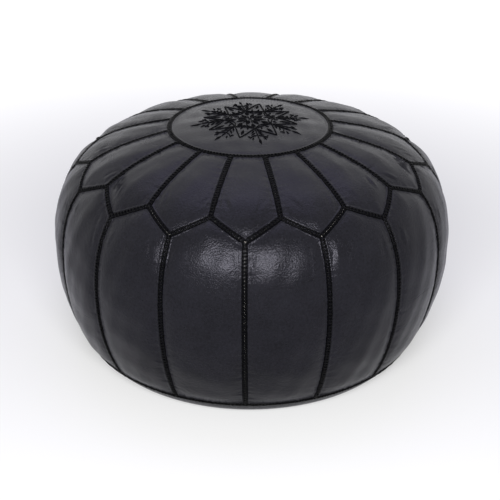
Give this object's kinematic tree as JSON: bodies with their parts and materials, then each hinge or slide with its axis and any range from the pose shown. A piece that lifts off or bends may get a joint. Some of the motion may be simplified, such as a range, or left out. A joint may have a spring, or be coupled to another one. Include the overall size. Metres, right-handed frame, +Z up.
{
  "type": "leather floor pouf",
  "caption": "Low round leather floor pouf with an embroidered medallion on top, petal panels, long side panels, thick braided seams and a zipped base.",
  "frame": {"origin": "on the floor, under the middle of the pouf", "axes": "+Z up; the front is -Y, where a seam between two side panels runs down the middle; the zip in the base runs along X"},
  "size_m": [0.55, 0.55, 0.3259],
  "materials": {
    "leather": "black goatskin, fine grain, soft satin sheen",
    "embroidery_thread": "lustrous black floss",
    "seam_thread": "waxed black braided thread",
    "zip_tape": "black woven twill",
    "zip_metal": "blackened, worn to bare metal on its edges",
    "bag_cloth": "unbleached plain-weave cotton",
    "filling": "loose cotton and fibre waste"
  },
  "bodies": {
    "pouf": {"medallion": "leather", "upper_petal_01": "leather", "upper_petal_02": "leather", "upper_petal_03": "leather", "upper_petal_04": "leather", "upper_petal_05": "leather", "upper_petal_06": "leather", "upper_petal_07": "leather", "upper_petal_08": "leather", "upper_petal_09": "leather", "upper_petal_10": "leather", "upper_petal_11": "leather", "upper_petal_12": "leather", "upper_petal_13": "leather", "upper_petal_14": "leather", "upper_petal_15": "leather", "upper_petal_16": "leather", "side_panel_01": "leather", "side_panel_02": "leather", "side_panel_03": "leather", "side_panel_04": "leather", "side_panel_05": "leather", "side_panel_06": "leather", "side_panel_07": "leather", "side_panel_08": "leather", "side_panel_09": "leather", "side_panel_10": "leather", "side_panel_11": "leather", "side_panel_12": "leather", "side_panel_13": "leather", "side_panel_14": "leather", "side_panel_15": "leather", "side_panel_16": "leather", "base_half_front": "leather", "base_half_back": "leather", "medallion_embroidery": "embroidery_thread", "medallion_seam_stitching": "seam_thread", "petal_seam_stitching": "seam_thread", "zigzag_seam_stitching": "seam_thread", "side_seam_stitching": "seam_thread", "base_seam_stitching": "seam_thread", "zip_stitching": "seam_thread", "zip_tape_front": "zip_tape", "zip_tape_back": "zip_tape", "zip_teeth_front": "zip_metal", "zip_teeth_back": "zip_metal", "zip_stops": "zip_metal", "inner_bag_top": "bag_cloth", "inner_bag_side": "bag_cloth", "inner_bag_base": "bag_cloth", "filling": "filling"},
    "zip_slider": {"zip_slider": "zip_metal"},
    "zip_pull_tab": {"zip_pull_tab": "zip_metal"}
  },
  "joints": [
    {"name": "zip_travel", "type": "slide", "parent": "pouf", "child": "zip_slider", "axis": [1, 0, 0], "range_m": [-0.29, 0], "deforming": ["zip_teeth_front", "zip_teeth_back"]},
    {"name": "pull_tab_swing", "type": "hinge", "parent": "zip_slider", "child": "zip_pull_tab", "pos_m": [0.148, 0, 0.00395], "axis": [0, -1, 0], "range_deg": [0, 180]}
  ]
}
